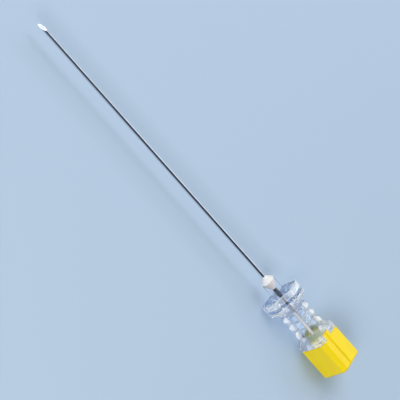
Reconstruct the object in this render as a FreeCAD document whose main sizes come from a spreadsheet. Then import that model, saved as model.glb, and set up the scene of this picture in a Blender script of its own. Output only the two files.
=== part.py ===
import FreeCAD, Part
import math
import os
import re
import Sketcher
from FreeCAD import Placement, Rotation, Vector

# Spinal needle, 20 gauge by 90 mm, with its stylet home in the hub.
# +X runs along the needle to its point, and the origin is on the axis where the tube leaves the glue cone.
# +Z is the side of the alignment key, which is also the side that the bevel faces.

document = FreeCAD.newDocument("SpinalNeedle")

# Driving dimensions, in millimetres and degrees
SIZES = [
    ("needle_length", 88.9, "free tube, from the glue cone to the point"),
    ("cannula_diameter", 0.9, "outside of the steel tube"),
    ("cannula_bore", 0.66, "inside of the steel tube"),
    ("cannula_seat", 5.8, "nose mouth to the tube's inner end"),
    ("bevel_length", 2.4, "slant of the point, along the axis"),
    ("side_grind_length", 1.1, "the two short side grinds, along the axis"),
    ("side_grind_roll", 38.0, "turn of each side grind about the axis"),
    ("stylet_clearance", 0.03, "gap all round the wire in the tube"),
    ("nose_diameter", 3.6, "outside of the nose at its mouth"),
    ("nose_root_diameter", 3.85, "outside of the nose at the wings"),
    ("nose_length", 4.7, "mouth to front of the wings"),
    ("well_diameter", 3.2, "mouth of the glue well"),
    ("well_depth", 2.5, "depth of the glue well"),
    ("bead_height", 1.55, "glue cone ahead of the mouth"),
    ("bead_rim", 0.12, "straight edge of the glue cone"),
    ("wing_across", 7.85, "across flats of the square wing plate"),
    ("wing_waist", 5.3, "across the two corners that are cut off"),
    ("wing_blunt", 0.35, "cut at the wing tips"),
    ("wing_thickness", 1.75, "front wing plate"),
    ("wing_rim", 0.55, "wall round the hollow in each wing"),
    ("wing_web", 0.6, "skin left in front of each hollow"),
    ("wing_gap", 1.0, "between the two plates"),
    ("stop_thickness", 0.6, "rear plate at its edge"),
    ("stop_taper", 1.4, "slope from the rear plate down to the barrel"),
    ("barrel_diameter", 5.2, "tube round the socket"),
    ("barrel_end", 17.3, "nose mouth to the start of the shoulder"),
    ("fin_thickness", 0.65, "four long fins"),
    ("rail_height", 7.3, "across the two plain fins"),
    ("grip_across", 7.5, "across the tips of the two scalloped fins"),
    ("scallop_valley", 6.2, "across the valleys of the scalloped fins"),
    ("scallop_radius", 0.95, "each scallop"),
    ("rib_count", 3, "cross ribs"),
    ("rib_start", 10.05, "nose mouth to the first cross rib"),
    ("rib_pitch", 2.4, "rib to rib"),
    ("rib_thickness", 0.4, "each cross rib"),
    ("rib_across", 5.5, "across flats of a cross rib"),
    ("rib_blunt", 0.4, "cut at the corners of a cross rib"),
    ("shoulder_length", 1.75, "slope from barrel to collar"),
    ("collar_length", 1.35, "straight part of the collar"),
    ("collar_wide", 8.2, "collar and cap, across Y"),
    ("collar_tall", 8.6, "collar and cap, across Z"),
    ("collar_corner", 1.1, "cut at the corners of collar and cap"),
    ("socket_diameter", 4.3, "mouth of the conical socket"),
    ("socket_depth", 9.0, "depth of the conical socket"),
    ("socket_taper", 0.06, "loss of diameter for each mm of depth"),
    ("funnel_mouth", 2.0, "second cone's diameter, where the socket's floor ends"),
    ("funnel_step", 0.7, "length of the socket's sloping floor"),
    ("key_width", 2.3, "tab on the cap"),
    ("key_length", 1.5, "reach of the tab ahead of the cap"),
    ("key_height", 1.1, "depth of the tab below the cap's top"),
    ("key_offset", 0.85, "middle of the tab, notch and pointer groove, to the +Y side"),
    ("key_clearance", 0.1, "gap round the tab in its notch"),
    ("seat_gap", 0.05, "cap's face to collar"),
    ("cap_length", 9.45, "square part of the cap"),
    ("cap_edge", 0.45, "cut round the cap's rear edge"),
    ("cap_front_edge", 0.18, "cut round the cap's front edge"),
    ("line_width", 0.7, "groove along the cap's top"),
    ("line_depth", 0.4, "depth of that groove"),
    ("spigot_length", 2.2, "reach of the cap's round nose into the socket"),
    ("spigot_clearance", 0.05, "gap all round the cap's nose in the socket"),
    ("spigot_edge", 0.3, "cut round the end of the cap's nose"),
    ("wire_grip", 5.0, "length of wire held inside the square part of the cap"),
]

sheet = document.addObject("Spreadsheet::Sheet", "Sizes")
for row, (alias, value, note) in enumerate(SIZES, start=1):
    sheet.set(f"A{row}", note)
    sheet.set(f"B{row}", str(value))
    sheet.setAlias(f"B{row}", alias)
document.recompute()

# Lengths worked out from the sheet, as formulas
CANNULA_RADIUS = "cannula_diameter / 2"
WIRE_RADIUS = "(cannula_bore / 2 - stylet_clearance)"
NOSE = "(-bead_height)"
TUBE_END = f"({NOSE} - cannula_seat)"
WING_FRONT = f"({NOSE} - nose_length)"
WING_BACK = f"({WING_FRONT} - wing_thickness)"
STOP_FRONT = f"({WING_BACK} - wing_gap)"
STOP_BACK = f"({STOP_FRONT} - stop_thickness)"
TAPER_END = f"({STOP_BACK} - stop_taper)"
RIB_FIRST = f"({NOSE} - rib_start)"
BARREL_END = f"({NOSE} - barrel_end)"
SHOULDER_END = f"({BARREL_END} - shoulder_length)"
HUB_END = f"({SHOULDER_END} - collar_length)"
CAP_FRONT = f"({HUB_END} - seat_gap)"

# The wings and the four fins stand on the diagonals of the square collar
DIAGONAL = 45


def formula(text):
    """Point the words of a formula at the sheet: every alias holds an underscore, and no function does."""
    return re.sub(r"\b([a-z]+(?:_[a-z]+)+)\b", r"Sizes.\1", text)


def new_body(label):
    body = document.addObject("PartDesign::Body", label)
    body.Label = label
    return body


def new_sketch(body, name, plane, offset="0", roll="0"):
    """A sketch on an origin plane of its body. It is moved along the plane's normal and rolled about the needle."""
    support = [feature for feature in body.Origin.OriginFeatures if feature.Role == plane][0]
    sketch = body.newObject("Sketcher::SketchObject", name)
    sketch.AttachmentSupport = [(support, "")]
    sketch.MapMode = "FlatFace"
    axis = Vector(0, 0, 1) if plane == "YZ_Plane" else Vector(1, 0, 0)
    sketch.AttachmentOffset = Placement(Vector(0, 0, 0), Rotation(axis, 1))
    sketch.setExpression("AttachmentOffset.Base.z", formula(offset))
    sketch.setExpression("AttachmentOffset.Rotation.Angle", formula(f"({roll}) * 1 deg"))
    return sketch


def pin_point(sketch, edge, place):
    """Hold the start of an edge at a place given by two formulas."""
    for kind, text in (("DistanceX", place[0]), ("DistanceY", place[1])):
        number = sketch.addConstraint(Sketcher.Constraint(kind, -1, 1, edge, 1, 1.0))
        sketch.setExpression(f"Constraints[{number}]", formula(text))


def draw_outline(sketch, corners):
    """A closed outline with straight sides, through corners given by formulas."""
    count = len(corners)
    spots = [Vector(math.cos(2 * math.pi * i / count), math.sin(2 * math.pi * i / count), 0) for i in range(count)]
    edges = [sketch.addGeometry(Part.LineSegment(spots[i], spots[(i + 1) % count])) for i in range(count)]
    for i in range(count):
        sketch.addConstraint(Sketcher.Constraint("Coincident", edges[i], 2, edges[(i + 1) % count], 1))
        pin_point(sketch, edges[i], corners[i])


def draw_circle(sketch, radius, across="0", up="0"):
    """A circle whose radius and centre are formulas."""
    edge = sketch.addGeometry(Part.Circle(Vector(0, 0, 0), Vector(0, 0, 1), 1.0))
    number = sketch.addConstraint(Sketcher.Constraint("Radius", edge, 1.0))
    sketch.setExpression(f"Constraints[{number}]", formula(radius))
    for kind, text in (("DistanceX", across), ("DistanceY", up)):
        number = sketch.addConstraint(Sketcher.Constraint(kind, -1, 1, edge, 3, 1.0))
        sketch.setExpression(f"Constraints[{number}]", formula(text))


def extrude(body, kind, name, sketch, length, reverse=False, both_ways=False):
    """A Pad or a Pocket; a Pocket that is not reversed cuts against the sketch's normal."""
    feature = body.newObject("PartDesign::" + kind, name)
    feature.Profile = sketch
    feature.setExpression("Length", formula(length))
    feature.Reversed = reverse
    if both_ways:
        feature.Midplane = True
    document.recompute()
    return feature


def revolve(body, kind, name, sketch):
    """A Revolution or a Groove about the needle's axis."""
    feature = body.newObject("PartDesign::" + kind, name)
    feature.Profile = sketch
    feature.ReferenceAxis = (sketch, ["H_Axis"])
    feature.Angle = 360
    document.recompute()
    return feature


def loft(body, name, first, second):
    feature = body.newObject("PartDesign::AdditiveLoft", name)
    feature.Profile = first
    feature.Sections = [second]
    feature.Ruled = True
    document.recompute()
    return feature


def cut_square(wide, tall, corner):
    """Corners of a rectangle on the axis with its four corners cut off at 45 degrees."""
    half_wide, half_tall = f"({wide}) / 2", f"({tall}) / 2"
    return [
        (f"{half_wide}", f"-{half_tall} + {corner}"),
        (f"{half_wide}", f"{half_tall} - {corner}"),
        (f"{half_wide} - {corner}", f"{half_tall}"),
        (f"-{half_wide} + {corner}", f"{half_tall}"),
        (f"-{half_wide}", f"{half_tall} - {corner}"),
        (f"-{half_wide}", f"-{half_tall} + {corner}"),
        (f"-{half_wide} + {corner}", f"-{half_tall}"),
        (f"{half_wide} - {corner}", f"-{half_tall}"),
    ]


def wing_outline():
    """A square plate with two opposite corners cut back to the waist and the other two left as wing tips."""
    half = "wing_across / 2"
    waist = f"(wing_waist / 2 * sqrt(2) - {half})"
    return [
        (f"{half}", f"-{half} + wing_blunt"),
        (f"{half}", waist),
        (waist, f"{half}"),
        (f"-{half} + wing_blunt", f"{half}"),
        (f"-{half}", f"{half} - wing_blunt"),
        (f"-{half}", f"-{waist}"),
        (f"-{waist}", f"-{half}"),
        (f"{half} - wing_blunt", f"-{half}"),
    ]


def bar(thickness, height):
    """Corners of a rectangle centred on the axis."""
    return [
        (f"-{thickness} / 2", f"-{height} / 2"),
        (f"{thickness} / 2", f"-{height} / 2"),
        (f"{thickness} / 2", f"{height} / 2"),
        (f"-{thickness} / 2", f"{height} / 2"),
    ]


def grind_point(body):
    """Grind the slanted point: one long bevel that faces +Z, then two short side grinds that meet at the tip."""
    radius = CANNULA_RADIUS
    over = "cannula_diameter"
    drop = f"-{radius} * cos(side_grind_roll * 1 deg)"
    grinds = [
        ("long_bevel", "0", f"-{radius}", "bevel_length"),
        ("left_grind", "side_grind_roll", drop, "side_grind_length"),
        ("right_grind", "-side_grind_roll", drop, "side_grind_length"),
    ]
    for name, roll, start, length in grinds:
        sketch = new_sketch(body, f"{name}_outline", "XZ_Plane", roll=roll)
        draw_outline(sketch, [
            ("needle_length", start),
            (f"needle_length - {length}", radius),
            (f"needle_length - {length}", f"{radius} + {over}"),
            (f"needle_length + {over}", f"{radius} + {over}"),
            (f"needle_length + {over}", start),
        ])
        extrude(body, "Pocket", name, sketch, "2 * cannula_diameter", both_ways=True)


# Hub: one clear moulding
def make_hub():
    hub = new_body("hub")

    # Nose and barrel, turned about the axis
    sketch = new_sketch(hub, "barrel_profile", "XZ_Plane")
    draw_outline(sketch, [
        (NOSE, "0"),
        (NOSE, "nose_diameter / 2"),
        (WING_FRONT, "nose_root_diameter / 2"),
        (STOP_BACK, "nose_root_diameter / 2"),
        (TAPER_END, "barrel_diameter / 2"),
        (SHOULDER_END, "barrel_diameter / 2"),
        (SHOULDER_END, "0"),
    ])
    revolve(hub, "Revolution", "barrel", sketch)

    # Scalloped fins run in line with the wing tips, from the front plate to the shoulder
    sketch = new_sketch(hub, "grip_section", "YZ_Plane", offset=WING_BACK, roll=str(DIAGONAL))
    draw_outline(sketch, bar("fin_thickness", "grip_across"))
    extrude(hub, "Pad", "grip_fins", sketch, f"{WING_BACK} - {BARREL_END}", reverse=True)
    sketch = new_sketch(hub, "scallops", "XZ_Plane", roll=str(DIAGONAL))
    for step in range(int(sheet.rib_count)):
        along = f"{RIB_FIRST} - {step} * rib_pitch"
        for side in ("", "-"):
            draw_circle(sketch, "scallop_radius", along, f"{side}(scallop_valley / 2 + scallop_radius)")
    extrude(hub, "Pocket", "scallop_cut", sketch, "2 * fin_thickness", both_ways=True)

    # Plain rails, square to the scalloped fins
    sketch = new_sketch(hub, "rail_section", "YZ_Plane", offset=TAPER_END, roll=str(-DIAGONAL))
    draw_outline(sketch, bar("fin_thickness", "rail_height"))
    extrude(hub, "Pad", "rails", sketch, f"{TAPER_END} - {BARREL_END}", reverse=True)

    # Cross ribs between the fins
    sketch = new_sketch(hub, "rib_section", "YZ_Plane", offset=f"{RIB_FIRST} + rib_thickness / 2")
    draw_outline(sketch, cut_square("rib_across", "rib_across", "rib_blunt"))
    rib = extrude(hub, "Pad", "rib", sketch, "rib_thickness", reverse=True)
    row = hub.newObject("PartDesign::LinearPattern", "rib_row")
    row.Originals = [rib]
    row.Direction = (sketch, ["N_Axis"])
    row.Reversed = True
    row.setExpression("Length", formula("rib_pitch * (rib_count - 1)"))
    row.setExpression("Occurrences", formula("rib_count"))
    hub.Tip = row
    document.recompute()

    # Front wing plate, hollowed from behind
    sketch = new_sketch(hub, "wing_outline", "YZ_Plane", offset=WING_FRONT)
    draw_outline(sketch, wing_outline())
    extrude(hub, "Pad", "wings", sketch, "wing_thickness", reverse=True)
    inner = "(nose_root_diameter / 2 + wing_rim)"
    tip = "(wing_across / sqrt(2) - wing_rim * sqrt(2))"
    outer = "(wing_across / sqrt(2) - wing_rim * sqrt(2) - wing_blunt)"
    for name, side in (("left", ""), ("right", "-")):
        sketch = new_sketch(hub, f"{name}_hollow_outline", "YZ_Plane", offset=WING_BACK, roll=str(DIAGONAL))
        draw_outline(sketch, [
            (f"{tip} - {inner}", f"{side}{inner}"),
            (f"{tip} - {outer}", f"{side}{outer}"),
            (f"{outer} - {tip}", f"{side}{outer}"),
            (f"{inner} - {tip}", f"{side}{inner}"),
        ])
        extrude(hub, "Pocket", f"{name}_hollow", sketch, "wing_thickness - wing_web", reverse=True)

    # Rear plate and the slope behind it
    sketch = new_sketch(hub, "stop_outline", "YZ_Plane", offset=STOP_FRONT)
    draw_outline(sketch, wing_outline())
    extrude(hub, "Pad", "stop_plate", sketch, "stop_thickness", reverse=True)
    front = new_sketch(hub, "taper_front", "YZ_Plane", offset=STOP_BACK)
    draw_outline(front, wing_outline())
    back = new_sketch(hub, "taper_back", "YZ_Plane", offset=TAPER_END)
    draw_outline(back, cut_square("rib_across", "rib_across", "rib_blunt"))
    loft(hub, "stop_slope", front, back)

    # Shoulder and square collar
    front = new_sketch(hub, "shoulder_front", "YZ_Plane", offset=BARREL_END)
    draw_outline(front, cut_square("rib_across", "rib_across", "rib_blunt"))
    back = new_sketch(hub, "shoulder_back", "YZ_Plane", offset=SHOULDER_END)
    draw_outline(back, cut_square("collar_wide", "collar_tall", "collar_corner"))
    loft(hub, "shoulder", front, back)
    sketch = new_sketch(hub, "collar_outline", "YZ_Plane", offset=SHOULDER_END)
    draw_outline(sketch, cut_square("collar_wide", "collar_tall", "collar_corner"))
    extrude(hub, "Pad", "collar", sketch, "collar_length", reverse=True)

    # Notch for the cap's key
    sketch = new_sketch(hub, "notch_outline", "YZ_Plane", offset=HUB_END)
    notch_half = "(key_width / 2 + key_clearance)"
    floor = "collar_tall / 2 - key_height - key_clearance"
    draw_outline(sketch, [
        (f"key_offset - {notch_half}", floor),
        (f"key_offset + {notch_half}", floor),
        (f"key_offset + {notch_half}", "collar_tall / 2 + key_height"),
        (f"key_offset - {notch_half}", "collar_tall / 2 + key_height"),
    ])
    extrude(hub, "Pocket", "key_notch", sketch, "key_length + key_clearance", reverse=True)

    # Glue well, seat of the tube, funnel and conical socket, bored about the axis
    socket_floor = f"({HUB_END} + socket_depth)"
    socket_end_radius = "(socket_diameter / 2 - socket_depth * socket_taper / 2)"
    sketch = new_sketch(hub, "bore_profile", "XZ_Plane")
    draw_outline(sketch, [
        ("0", "0"),
        ("0", "well_diameter / 2"),
        (NOSE, "well_diameter / 2"),
        (f"{NOSE} - well_depth", CANNULA_RADIUS),
        (TUBE_END, CANNULA_RADIUS),
        (f"{socket_floor} + funnel_step", "funnel_mouth / 2"),
        (socket_floor, socket_end_radius),
        (HUB_END, "socket_diameter / 2"),
        (f"{HUB_END} - seat_gap", "socket_diameter / 2"),
        (f"{HUB_END} - seat_gap", "0"),
    ])
    revolve(hub, "Groove", "bore", sketch)
    return hub


# Cannula: drawn steel tube with a ground point
def make_cannula():
    cannula = new_body("cannula")
    sketch = new_sketch(cannula, "tube_section", "YZ_Plane", offset=TUBE_END)
    draw_circle(sketch, CANNULA_RADIUS)
    draw_circle(sketch, "cannula_bore / 2")
    extrude(cannula, "Pad", "tube", sketch, f"needle_length - {TUBE_END}")
    grind_point(cannula)
    return cannula


# Adhesive: white bead that fills the glue well and stands ahead of it as a cone
def make_adhesive():
    adhesive = new_body("adhesive")
    sketch = new_sketch(adhesive, "bead_profile", "XZ_Plane")
    draw_outline(sketch, [
        ("0", CANNULA_RADIUS),
        (f"{NOSE} + bead_rim", "nose_diameter / 2"),
        (NOSE, "nose_diameter / 2"),
        (NOSE, "well_diameter / 2"),
        (f"{NOSE} - well_depth", CANNULA_RADIUS),
    ])
    revolve(adhesive, "Revolution", "bead", sketch)
    return adhesive


# Stylet wire: fills the tube and is ground flush with its bevel
def make_stylet_wire():
    wire = new_body("stylet_wire")
    sketch = new_sketch(wire, "wire_section", "YZ_Plane", offset=f"{CAP_FRONT} - wire_grip")
    draw_circle(sketch, WIRE_RADIUS)
    extrude(wire, "Pad", "wire", sketch, f"needle_length - {CAP_FRONT} + wire_grip")
    grind_point(wire)
    return wire


# Stylet cap: square thumb piece with a round nose for the socket and a key for the notch
def make_stylet_cap():
    cap = new_body("stylet_cap")
    sketch = new_sketch(cap, "cap_outline", "YZ_Plane", offset=CAP_FRONT)
    draw_outline(sketch, cut_square("collar_wide", "collar_tall", "collar_corner"))
    block = extrude(cap, "Pad", "block", sketch, "cap_length", reverse=True)

    # Cuts round the rear edge and the front edge
    shaped = block
    for name, pick, size in (("rear_edge", min, "cap_edge"), ("front_edge", max, "cap_front_edge")):
        faces = shaped.Shape.Faces
        end = pick(range(len(faces)), key=lambda index: faces[index].CenterOfMass.x)
        edge = cap.newObject("PartDesign::Chamfer", name)
        edge.Base = (shaped, [f"Face{end + 1}"])
        edge.setExpression("Size", formula(size))
        document.recompute()
        shaped = edge

    # Alignment key
    sketch = new_sketch(cap, "key_outline", "YZ_Plane", offset=CAP_FRONT)
    draw_outline(sketch, [
        ("key_offset - key_width / 2", "collar_tall / 2 - key_height"),
        ("key_offset + key_width / 2", "collar_tall / 2 - key_height"),
        ("key_offset + key_width / 2", "collar_tall / 2"),
        ("key_offset - key_width / 2", "collar_tall / 2"),
    ])
    extrude(cap, "Pad", "key", sketch, "key_length + seat_gap")

    # Pointer groove along the top, over block and key
    sketch = new_sketch(cap, "line_outline", "YZ_Plane", offset=f"{CAP_FRONT} + key_length + seat_gap")
    draw_outline(sketch, [
        ("key_offset", "collar_tall / 2 - line_depth"),
        ("key_offset + line_width / 2", "collar_tall / 2"),
        ("key_offset + line_width / 2", "collar_tall / 2 + line_depth"),
        ("key_offset - line_width / 2", "collar_tall / 2 + line_depth"),
        ("key_offset - line_width / 2", "collar_tall / 2"),
    ])
    extrude(cap, "Pocket", "line", sketch, "cap_length + key_length + seat_gap")

    # Round nose, tapered as the socket is
    root = "(socket_diameter / 2 - spigot_clearance)"
    nose_end = "(socket_diameter / 2 - spigot_clearance - spigot_length * socket_taper / 2)"
    sketch = new_sketch(cap, "spigot_profile", "XZ_Plane")
    draw_outline(sketch, [
        (CAP_FRONT, WIRE_RADIUS),
        (CAP_FRONT, root),
        (f"{HUB_END} + spigot_length - spigot_edge", nose_end),
        (f"{HUB_END} + spigot_length", f"{nose_end} - spigot_edge"),
        (f"{HUB_END} + spigot_length", WIRE_RADIUS),
    ])
    revolve(cap, "Revolution", "spigot", sketch)

    # Blind hole that grips the wire
    sketch = new_sketch(cap, "grip_hole", "YZ_Plane", offset=f"{CAP_FRONT} - wire_grip")
    draw_circle(sketch, WIRE_RADIUS)
    extrude(cap, "Pocket", "wire_hole", sketch, "wire_grip + spigot_length + seat_gap", reverse=True)
    return cap


parts = [make_hub(), make_cannula(), make_adhesive(), make_stylet_wire(), make_stylet_cap()]
document.recompute()

for item in document.Objects:
    if "Invalid" in item.State or "Error" in item.State:
        raise RuntimeError(f"{item.Name} failed: {item.State}")
for part in parts:
    if part.Shape.isNull() or not part.Shape.isValid() or len(part.Shape.Solids) != 1:
        raise RuntimeError(f"{part.Label} is not one valid solid")

os.makedirs("parts", exist_ok=True)
for part in parts:
    part.Shape.exportStep(f"parts/{part.Label}.step")
    box = part.Shape.BoundBox
    print(f"{part.Label}: {part.Shape.Volume:.3f} mm3, x {box.XMin:.2f} to {box.XMax:.2f}")
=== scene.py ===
import math

import bmesh
import bpy
from mathutils import Matrix, Vector


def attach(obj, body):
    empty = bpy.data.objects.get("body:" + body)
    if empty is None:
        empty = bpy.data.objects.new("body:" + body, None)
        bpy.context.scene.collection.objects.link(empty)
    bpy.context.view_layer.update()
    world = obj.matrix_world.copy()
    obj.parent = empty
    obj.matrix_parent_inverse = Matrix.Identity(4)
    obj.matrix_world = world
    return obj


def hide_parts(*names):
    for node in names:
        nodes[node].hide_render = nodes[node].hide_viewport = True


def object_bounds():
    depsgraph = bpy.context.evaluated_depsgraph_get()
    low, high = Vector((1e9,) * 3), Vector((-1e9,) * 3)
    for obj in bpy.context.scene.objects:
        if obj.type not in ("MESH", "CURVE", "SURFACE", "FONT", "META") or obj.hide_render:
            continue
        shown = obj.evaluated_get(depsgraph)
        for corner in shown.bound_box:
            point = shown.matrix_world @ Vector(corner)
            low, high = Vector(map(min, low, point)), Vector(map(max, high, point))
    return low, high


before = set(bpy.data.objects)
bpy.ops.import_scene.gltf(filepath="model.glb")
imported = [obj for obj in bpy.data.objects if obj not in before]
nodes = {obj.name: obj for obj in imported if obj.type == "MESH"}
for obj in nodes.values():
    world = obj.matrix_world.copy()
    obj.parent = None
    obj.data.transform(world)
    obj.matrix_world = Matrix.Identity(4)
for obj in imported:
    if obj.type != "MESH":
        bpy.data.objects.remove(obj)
cad_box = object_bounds()

# Hub. One clear injection moulding in polycarbonate, from the nose round the tube to the collar.
# The barrel is clear as glass, the thick wings, shoulder and collar are a little hazy, the fins
# are textured, and the outer edges are broken, so that they scatter the light.
MERGE_WITHIN = 1e-6
FLAT_WITHIN = math.radians(1)
SMOOTH_UNDER = math.radians(35)
EDGE_CUT = 0.00009
EDGE_CUT_OVER = math.radians(38)
# Places along the needle: just behind the rear plate, the back of the first cross rib, and just
# ahead of the shoulder
PLATES_END = -0.0098
HAZY_WINGS_END = -0.0120
SHOULDER_START = -0.0186
# Distances from the axis that the nose and the barrel stay within
NOSE_REACH = 0.0020
BARREL_REACH = 0.00268
# Beyond the barrel, faces that lean less than this along the axis are textured: fins, rib rims
UPRIGHT = 0.1
# The walls of the glue well and of the tube's seat, scaled to lie inside the glue and the tube
SEAT_BACK = -0.0074
WELL_REACH = 0.00162
WETTED = 0.985
# Less than the real 1.58, so that the clear walls show the tube and the glue where they are seen
PLASTIC_IOR = 1.3
PLASTIC_TINT = (0.93, 0.965, 1.0, 1)
PLASTIC_DEPTH_TINT = (0.885, 0.92, 0.955, 1)
PLASTIC_DEPTH_DENSITY = 40
PLASTIC_SHADOW = (0.975, 0.98, 0.985, 1)
# Share of the light let through, and the roughness in the hollows and on the crests of the waves
CLEAR_FINISH = (0.97, 0.015, 0.07)
TEXTURED_FINISH = (0.5, 0.12, 0.25)
EDGE_FINISH = (0.3, 0.2, 0.3)
HAZY_FINISH = (0.77, 0.03, 0.09)
# Depth in metres, and strength
PLASTIC_BUMP = (0.00003, 0.35)
WAVE_STRETCH = (180, 620, 620)
PEEL_SCALE = 5200
NOISE_LOW = 0.3
NOISE_HIGH = 0.7


def merged_copy(node):
    """A bmesh copy of a CAD node with its loose triangles welded and its flat faces whole again."""
    shell = bmesh.new()
    shell.from_mesh(nodes[node].data)
    bmesh.ops.remove_doubles(shell, verts=shell.verts, dist=MERGE_WITHIN)
    bmesh.ops.dissolve_limit(shell, angle_limit=FLAT_WITHIN, verts=shell.verts, edges=shell.edges)
    return shell


def finished_piece(shell, name, node, body, materials):
    """Makes the object that stands for a CAD node, in the node's own place."""
    mesh = bpy.data.meshes.new(name)
    shell.to_mesh(mesh)
    shell.free()
    for material in materials:
        mesh.materials.append(material)
    mesh.shade_smooth()
    mesh.set_sharp_from_angle(angle=SMOOTH_UNDER)
    piece = bpy.data.objects.new(name, mesh)
    bpy.context.scene.collection.objects.link(piece)
    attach(piece, body)
    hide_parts(node)


def new_material(name):
    material = bpy.data.materials.new(name)
    material.use_nodes = True
    return material, material.node_tree, material.node_tree.nodes["Principled BSDF"]


def effect_group(name, share, value):
    """An empty shader group with the inputs Vector and a named share, and Mask and Height out."""
    group = bpy.data.node_groups.new(name, "ShaderNodeTree")
    group.interface.new_socket("Vector", in_out="INPUT", socket_type="NodeSocketVector")
    socket = group.interface.new_socket(share, in_out="INPUT", socket_type="NodeSocketFloat")
    socket.default_value = value
    group.interface.new_socket("Mask", in_out="OUTPUT", socket_type="NodeSocketFloat")
    group.interface.new_socket("Height", in_out="OUTPUT", socket_type="NodeSocketFloat")
    return group, group.nodes.new("NodeGroupInput"), group.nodes.new("NodeGroupOutput")


def noise(tree, vector, scale, detail, stretch=None):
    """A noise with so many features per metre, or stretched along the axes by three such counts."""
    texture = tree.nodes.new("ShaderNodeTexNoise")
    texture.inputs["Scale"].default_value = scale
    texture.inputs["Detail"].default_value = detail
    if stretch:
        mapping = tree.nodes.new("ShaderNodeMapping")
        mapping.inputs["Scale"].default_value = stretch
        tree.links.new(vector, mapping.inputs["Vector"])
        vector = mapping.outputs["Vector"]
    tree.links.new(vector, texture.inputs["Vector"])
    return texture.outputs["Fac"]


def mixed(tree, share, first, second):
    """Goes from the first value to the second with the share."""
    mix = tree.nodes.new("ShaderNodeMix")
    tree.links.new(share, mix.inputs["Factor"])
    tree.links.new(first, mix.inputs["A"])
    tree.links.new(second, mix.inputs["B"])
    return mix.outputs["Result"]


def spread(tree, value, low, high):
    """Maps the range that a noise mostly keeps to onto the values from low to high."""
    ramp = tree.nodes.new("ShaderNodeMapRange")
    ramp.inputs["From Min"].default_value = NOISE_LOW
    ramp.inputs["From Max"].default_value = NOISE_HIGH
    ramp.inputs["To Min"].default_value = low
    ramp.inputs["To Max"].default_value = high
    tree.links.new(value, ramp.inputs["Value"])
    return ramp.outputs["Result"]


def tint(tree, value, first, second):
    """Goes from the first to the second with the mask; each is a colour or a colour's socket."""
    mix = tree.nodes.new("ShaderNodeMix")
    mix.data_type = "RGBA"
    tree.links.new(value, mix.inputs["Factor"])
    for socket, colour in ((mix.inputs["A"], first), (mix.inputs["B"], second)):
        if isinstance(colour, tuple):
            socket.default_value = colour
        else:
            tree.links.new(colour, socket)
    return [socket for socket in mix.outputs if socket.type == "RGBA"][0]


def past(tree, start, end, before, after):
    """A colour that goes from one to another between two places along the needle."""
    coordinates = tree.nodes.new("ShaderNodeTexCoord")
    split = tree.nodes.new("ShaderNodeSeparateXYZ")
    tree.links.new(coordinates.outputs["Object"], split.inputs["Vector"])
    along = tree.nodes.new("ShaderNodeMapRange")
    along.inputs["From Min"].default_value = start
    along.inputs["From Max"].default_value = end
    tree.links.new(split.outputs["X"], along.inputs["Value"])
    return tint(tree, along.outputs["Result"], before, after)


def bump(tree, shader, height, depth, strength):
    node = tree.nodes.new("ShaderNodeBump")
    node.inputs["Distance"].default_value = depth
    node.inputs["Strength"].default_value = strength
    tree.links.new(height, node.inputs["Height"])
    tree.links.new(node.outputs["Normal"], shader.inputs["Normal"])


def use_group(tree, group, **numbers):
    """Places a group in a material, on Object coordinates, and returns its Mask and Height."""
    node = tree.nodes.new("ShaderNodeGroup")
    node.node_tree = group
    coordinates = tree.nodes.new("ShaderNodeTexCoord")
    tree.links.new(coordinates.outputs["Object"], node.inputs["Vector"])
    for label, value in numbers.items():
        node.inputs[label.replace("_", " ")].default_value = value
    return node.outputs["Mask"], node.outputs["Height"]


# Moulded skin: long shallow flow waves along the part, under the fine orange peel of the polish
moulded_skin, given, wanted = effect_group("moulded_skin", share="Wave share", value=0.7)
waves = noise(moulded_skin, given.outputs["Vector"], scale=1, detail=2, stretch=WAVE_STRETCH)
peel = noise(moulded_skin, given.outputs["Vector"], scale=PEEL_SCALE, detail=3)
uneven = mixed(moulded_skin, given.outputs["Wave share"], peel, waves)
moulded_skin.links.new(uneven, wanted.inputs["Height"])
moulded_skin.links.new(waves, wanted.inputs["Mask"])


def plastic(name, share, smooth, rough):
    """Polycarbonate that lets the share of the light through, and scatters the rest on its skin."""
    material, tree, shader = new_material(name)
    output = tree.nodes["Material Output"]
    shader.inputs["Base Color"].default_value = PLASTIC_TINT
    shader.inputs["Transmission Weight"].default_value = share
    shader.inputs["IOR"].default_value = PLASTIC_IOR
    mask, height = use_group(tree, moulded_skin, Wave_share=0.8)
    tree.links.new(spread(tree, mask, smooth, rough), shader.inputs["Roughness"])
    bump(tree, shader, height, *PLASTIC_BUMP)
    depth_tint = tree.nodes.new("ShaderNodeVolumeAbsorption")
    depth_tint.inputs["Color"].default_value = PLASTIC_DEPTH_TINT
    depth_tint.inputs["Density"].default_value = PLASTIC_DEPTH_DENSITY
    tree.links.new(depth_tint.outputs["Volume"], output.inputs["Volume"])
    light_path = tree.nodes.new("ShaderNodeLightPath")
    see_through = tree.nodes.new("ShaderNodeBsdfTransparent")
    see_through.inputs["Color"].default_value = PLASTIC_SHADOW
    glass_or_gap = tree.nodes.new("ShaderNodeMixShader")
    tree.links.new(light_path.outputs["Is Shadow Ray"], glass_or_gap.inputs["Fac"])
    tree.links.new(shader.outputs["BSDF"], glass_or_gap.inputs[1])
    tree.links.new(see_through.outputs["BSDF"], glass_or_gap.inputs[2])
    tree.links.new(glass_or_gap.outputs["Shader"], output.inputs["Surface"])
    return material


hub_plastics = [
    plastic("clear_polycarbonate", *CLEAR_FINISH),
    plastic("textured_polycarbonate", *TEXTURED_FINISH),
    plastic("scattering_edge", *EDGE_FINISH),
    plastic("hazy_polycarbonate", *HAZY_FINISH),
]
TEXTURED, BROKEN_EDGE, HAZY = 1, 2, 3

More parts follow.
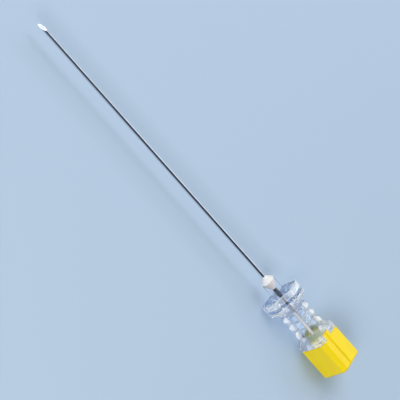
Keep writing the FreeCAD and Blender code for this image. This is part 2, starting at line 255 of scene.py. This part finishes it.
shell = merged_copy("hub")
glued_walls = [
    vert
    for vert in shell.verts
    if vert.co.x > SEAT_BACK and math.hypot(vert.co.y, vert.co.z) < WELL_REACH
]
bmesh.ops.scale(shell, verts=glued_walls, vec=(1, WETTED, WETTED))
outer_edges = [
    edge
    for edge in shell.edges
    if edge.is_manifold
    and edge.is_convex
    and edge.calc_face_angle(0) > EDGE_CUT_OVER
    and (
        min(vert.co.x for vert in edge.verts) > PLATES_END
        or max(vert.co.x for vert in edge.verts) < SHOULDER_START
    )
]
broken = bmesh.ops.bevel(
    shell, geom=outer_edges, offset=EDGE_CUT, offset_type="OFFSET", affect="EDGES",
    segments=2, profile=0.5, material=-1, loop_slide=True,
)
for face in shell.faces:
    middle = face.calc_center_median()
    reach = math.hypot(middle.y, middle.z)
    thick = middle.x > HAZY_WINGS_END or middle.x < SHOULDER_START
    if thick and reach > NOSE_REACH:
        face.material_index = HAZY
    elif abs(face.normal.x) < UPRIGHT and reach > BARREL_REACH:
        face.material_index = TEXTURED
for face in broken["faces"]:
    face.material_index = BROKEN_EDGE
finished_piece(shell, "hub_moulding", "hub", "needle", hub_plastics)

# Cannula. A drawn stainless tube, 0.9 mm across, with faint lines along it from the drawing.
# Its point is ground in three strokes to a bright slant. Its seated end, behind the glue, is
# painted darker, as painted shade where it shows through the clear nose.
STEEL_DARK = (0.46, 0.49, 0.54, 1)
STEEL_LIGHT = (0.58, 0.61, 0.66, 1)
# Painted shade: the darker steel colour given to the seated end inside the hub
SEATED_END_SHADE = (0.26, 0.28, 0.32, 1)
SEAT_SHADE_UP_TO = -0.0044
SEAT_SHADE_GONE_BY = -0.0040
STEEL_ROUGHNESS = (0.09, 0.18)
STEEL_BUMP = (0.000004, 0.3)
LINE_STRETCH = (150, 14000, 14000)
CLOUD_SCALE = 900

drawn_steel, given, wanted = effect_group("drawn_steel", share="Line share", value=0.8)
lines = noise(drawn_steel, given.outputs["Vector"], scale=1, detail=3, stretch=LINE_STRETCH)
cloud = noise(drawn_steel, given.outputs["Vector"], scale=CLOUD_SCALE, detail=2)
streaks = mixed(drawn_steel, given.outputs["Line share"], cloud, lines)
drawn_steel.links.new(streaks, wanted.inputs["Mask"])
drawn_steel.links.new(lines, wanted.inputs["Height"])

tube_steel, tree, shader = new_material("drawn_tube_steel")
shader.inputs["Metallic"].default_value = 1.0
mask, height = use_group(tree, drawn_steel, Line_share=0.75)
drawn_colour = tint(tree, mask, STEEL_DARK, STEEL_LIGHT)
# Painted shade on the tube's seated end, inside the hub, behind the glue
steel_colour = past(tree, SEAT_SHADE_UP_TO, SEAT_SHADE_GONE_BY, SEATED_END_SHADE, drawn_colour)
tree.links.new(steel_colour, shader.inputs["Base Color"])
tree.links.new(spread(tree, mask, *STEEL_ROUGHNESS), shader.inputs["Roughness"])
bump(tree, shader, height, *STEEL_BUMP)
nodes["cannula"].data.materials[0] = tube_steel

# Adhesive. A bead of white epoxy that fills the glue well and stands ahead of the nose as a cone.
# It sets with a soft, slightly uneven skin. Down in the well, behind the plastic, it is painted
# darker, as painted shade.
EPOXY_LIGHT = (0.87, 0.88, 0.91, 1)
EPOXY_WARM = (0.78, 0.77, 0.77, 1)
WELL_SHADE = (0.55, 0.51, 0.52, 1)
SHADED_UP_TO = -0.0020
SHADE_GONE_BY = -0.0015
EPOXY_ROUGHNESS = (0.34, 0.50)
EPOXY_BUMP = (0.00006, 0.6)
EPOXY_DEPTH = 0.0004

epoxy, tree, shader = new_material("white_epoxy")
mask, height = use_group(tree, moulded_skin, Wave_share=0.5)
bead_colour = tint(tree, mask, EPOXY_WARM, EPOXY_LIGHT)
# Painted shade on the part of the glue that lies down in the well
epoxy_colour = past(tree, SHADED_UP_TO, SHADE_GONE_BY, WELL_SHADE, bead_colour)
tree.links.new(epoxy_colour, shader.inputs["Base Color"])
tree.links.new(spread(tree, mask, *EPOXY_ROUGHNESS), shader.inputs["Roughness"])
shader.inputs["Subsurface Weight"].default_value = 0.15
shader.inputs["Subsurface Scale"].default_value = EPOXY_DEPTH
bump(tree, shader, height, *EPOXY_BUMP)
nodes["adhesive"].data.materials[0] = epoxy

# Stylet wire. Solid drawn stainless wire that fills the tube, duller and darker than it.
# It is ground together with the tube, so that its end lies flush in the bevel.
WIRE_DARK = (0.16, 0.18, 0.21, 1)
WIRE_LIGHT = (0.28, 0.30, 0.33, 1)
WIRE_ROUGHNESS = (0.20, 0.34)
WIRE_BUMP = (0.000004, 0.5)

wire_steel, tree, shader = new_material("drawn_wire_steel")
shader.inputs["Metallic"].default_value = 1.0
mask, height = use_group(tree, drawn_steel, Line_share=0.9)
tree.links.new(tint(tree, mask, WIRE_DARK, WIRE_LIGHT), shader.inputs["Base Color"])
tree.links.new(spread(tree, mask, *WIRE_ROUGHNESS), shader.inputs["Roughness"])
bump(tree, shader, height, *WIRE_BUMP)
nodes["stylet_wire"].data.materials[0] = wire_steel

# Stylet cap. A solid yellow moulding with cut corners, pressed over the wire's end.
# Its round nose sits in the hub's socket, its key in the notch, and a pointer groove runs along
# its top.
CAP_DEEP = (0.84, 0.61, 0.004, 1)
CAP_BRIGHT = (0.87, 0.71, 0.014, 1)
CAP_ROUGHNESS = (0.30, 0.42)
CAP_BUMP = (0.00002, 0.4)
CAP_DEPTH = 0.0005

yellow_plastic, tree, shader = new_material("yellow_moulding")
mask, height = use_group(tree, moulded_skin, Wave_share=0.45)
tree.links.new(tint(tree, mask, CAP_DEEP, CAP_BRIGHT), shader.inputs["Base Color"])
tree.links.new(spread(tree, mask, *CAP_ROUGHNESS), shader.inputs["Roughness"])
shader.inputs["Specular IOR Level"].default_value = 0.35
shader.inputs["Subsurface Weight"].default_value = 0.1
shader.inputs["Subsurface Scale"].default_value = CAP_DEPTH
bump(tree, shader, height, *CAP_BUMP)
nodes["stylet_cap"].data.materials[0] = yellow_plastic

# Floor. A plain pale surface that the flats of the cap and the collar rest on.
# It is wide enough to fill every view.
FLOOR_COLOUR = (0.40, 0.52, 0.68, 1)
FLOOR_HALF = 3.0

floor_paint, tree, shader = new_material("floor_paint")
shader.inputs["Base Color"].default_value = FLOOR_COLOUR
shader.inputs["Roughness"].default_value = 0.8
shader.inputs["Specular IOR Level"].default_value = 0.2
ground = bmesh.new()
bmesh.ops.create_grid(ground, x_segments=1, y_segments=1, size=FLOOR_HALF)
bmesh.ops.translate(ground, verts=ground.verts, vec=(0, 0, cad_box[0].z))
floor_mesh = bpy.data.meshes.new("floor")
ground.to_mesh(floor_mesh)
ground.free()
floor_mesh.materials.append(floor_paint)
floor = bpy.data.objects.new("floor", floor_mesh)
bpy.context.scene.collection.objects.link(floor)

# Camera. A long lens stands on the point's side and looks down on the part, so that the needle
# comes towards it as it runs to the upper left, and the rear face of the cap is hidden.
# TILT is the needle's slope towards the lens, and ROLL turns the key's side away from it.
TILT = math.radians(22.3)
ROLL = math.radians(41.0)
NEEDLE_IN_VIEW = Vector((-0.664, 0.748, 0))
ACROSS_IN_VIEW = Vector((0.748, 0.664, 0))
LENS_IN_VIEW = Vector((0, 0, 1))
AIM_ALONG = 0.02628
AIM_ACROSS = 0.00122
VIEW_WIDTH = 0.0977
LENS = 1500
SENSOR = 36

needle_axis = math.cos(TILT) * NEEDLE_IN_VIEW + math.sin(TILT) * LENS_IN_VIEW
square_on = math.cos(TILT) * LENS_IN_VIEW - math.sin(TILT) * NEEDLE_IN_VIEW
key_axis = math.sin(ROLL) * ACROSS_IN_VIEW + math.cos(ROLL) * square_on
side_axis = key_axis.cross(needle_axis)
axes_in_view = Matrix((needle_axis, side_axis, key_axis))
across = axes_in_view @ ACROSS_IN_VIEW
towards_lens = axes_in_view @ LENS_IN_VIEW
aim = Vector((AIM_ALONG, 0, 0)) + AIM_ACROSS * across
camera_data = bpy.data.cameras.new("camera")
camera_data.lens = LENS
camera_data.sensor_width = SENSOR
camera = bpy.data.objects.new("camera", camera_data)
bpy.context.scene.collection.objects.link(camera)
camera.matrix_world = axes_in_view.to_4x4()
camera.location = aim + towards_lens * VIEW_WIDTH * LENS / SENSOR
bpy.context.scene.camera = camera

# Lamps. A large soft key stands where the ground point mirrors it, and a lower strip runs along
# the needle. The fill, beside the lens, isn't mirrored, which keeps the needle's core dark.


def soft_box(name, place, size, power, colour=(1, 1, 1), mirrored=True):
    """A lamp that faces the origin."""
    lamp = bpy.data.lights.new(name, "AREA")
    lamp.shape = "RECTANGLE"
    lamp.size, lamp.size_y = size
    lamp.energy = power
    lamp.color = colour
    holder = bpy.data.objects.new(name, lamp)
    holder.location = place
    holder.rotation_mode = "QUATERNION"
    holder.rotation_quaternion = (-Vector(place)).to_track_quat("-Z", "Y")
    holder.visible_camera = False
    holder.visible_glossy = mirrored
    bpy.context.scene.collection.objects.link(holder)


soft_box("key", place=(0.21, -0.24, 0.42), size=(0.40, 0.40), power=1.5)
soft_box(
    "fill", place=(0.06, 0.50, 0.33), size=(0.30, 0.20), power=2.3,
    colour=(1.0, 0.95, 0.87), mirrored=False,
)
soft_box("strip", place=(-0.12, -0.40, 0.27), size=(0.50, 0.12), power=0.5)

# Sky. A plain grey sky lights the part. What shines mirrors another one, with a dark strip along
# the needle and over the lens between pale sides, so that the steel has a dark core and light
# edges. Through the clear plastic the same strip and sides are seen, a little brighter.
SKY_PLAIN = (0.34, 0.34, 0.33, 1)
FLAG_HALF = 0.62
FLAG_FADE = 0.92
MIRRORED_FLAG = (0.02, 0.035, 0.06, 1)
MIRRORED_SIDES = (0.85, 0.89, 0.95, 1)
THROUGH_FLAG = (0.05, 0.07, 0.11, 1)
THROUGH_SIDES = (0.86, 0.92, 0.99, 1)

sky = bpy.data.worlds.new("studio")
bpy.context.scene.world = sky
sky.use_nodes = True
tree = sky.node_tree
direction = tree.nodes.new("ShaderNodeTexCoord")
sideways = tree.nodes.new("ShaderNodeVectorMath")
sideways.operation = "DOT_PRODUCT"
sideways.inputs[1].default_value = across
tree.links.new(direction.outputs["Generated"], sideways.inputs[0])
either_side = tree.nodes.new("ShaderNodeMath")
either_side.operation = "ABSOLUTE"
tree.links.new(sideways.outputs["Value"], either_side.inputs[0])
flag_edge = tree.nodes.new("ShaderNodeMapRange")
flag_edge.inputs["From Min"].default_value = FLAG_HALF
flag_edge.inputs["From Max"].default_value = FLAG_FADE
tree.links.new(either_side.outputs["Value"], flag_edge.inputs["Value"])
mirrored_sky = tint(tree, flag_edge.outputs["Result"], MIRRORED_FLAG, MIRRORED_SIDES)
sky_through = tint(tree, flag_edge.outputs["Result"], THROUGH_FLAG, THROUGH_SIDES)
light_path = tree.nodes.new("ShaderNodeLightPath")
sky_colour = tint(tree, light_path.outputs["Is Glossy Ray"], SKY_PLAIN, mirrored_sky)
sky_colour = tint(tree, light_path.outputs["Is Transmission Ray"], sky_colour, sky_through)
tree.links.new(sky_colour, tree.nodes["Background"].inputs["Color"])

bpy.context.scene.view_settings.view_transform = "Standard"
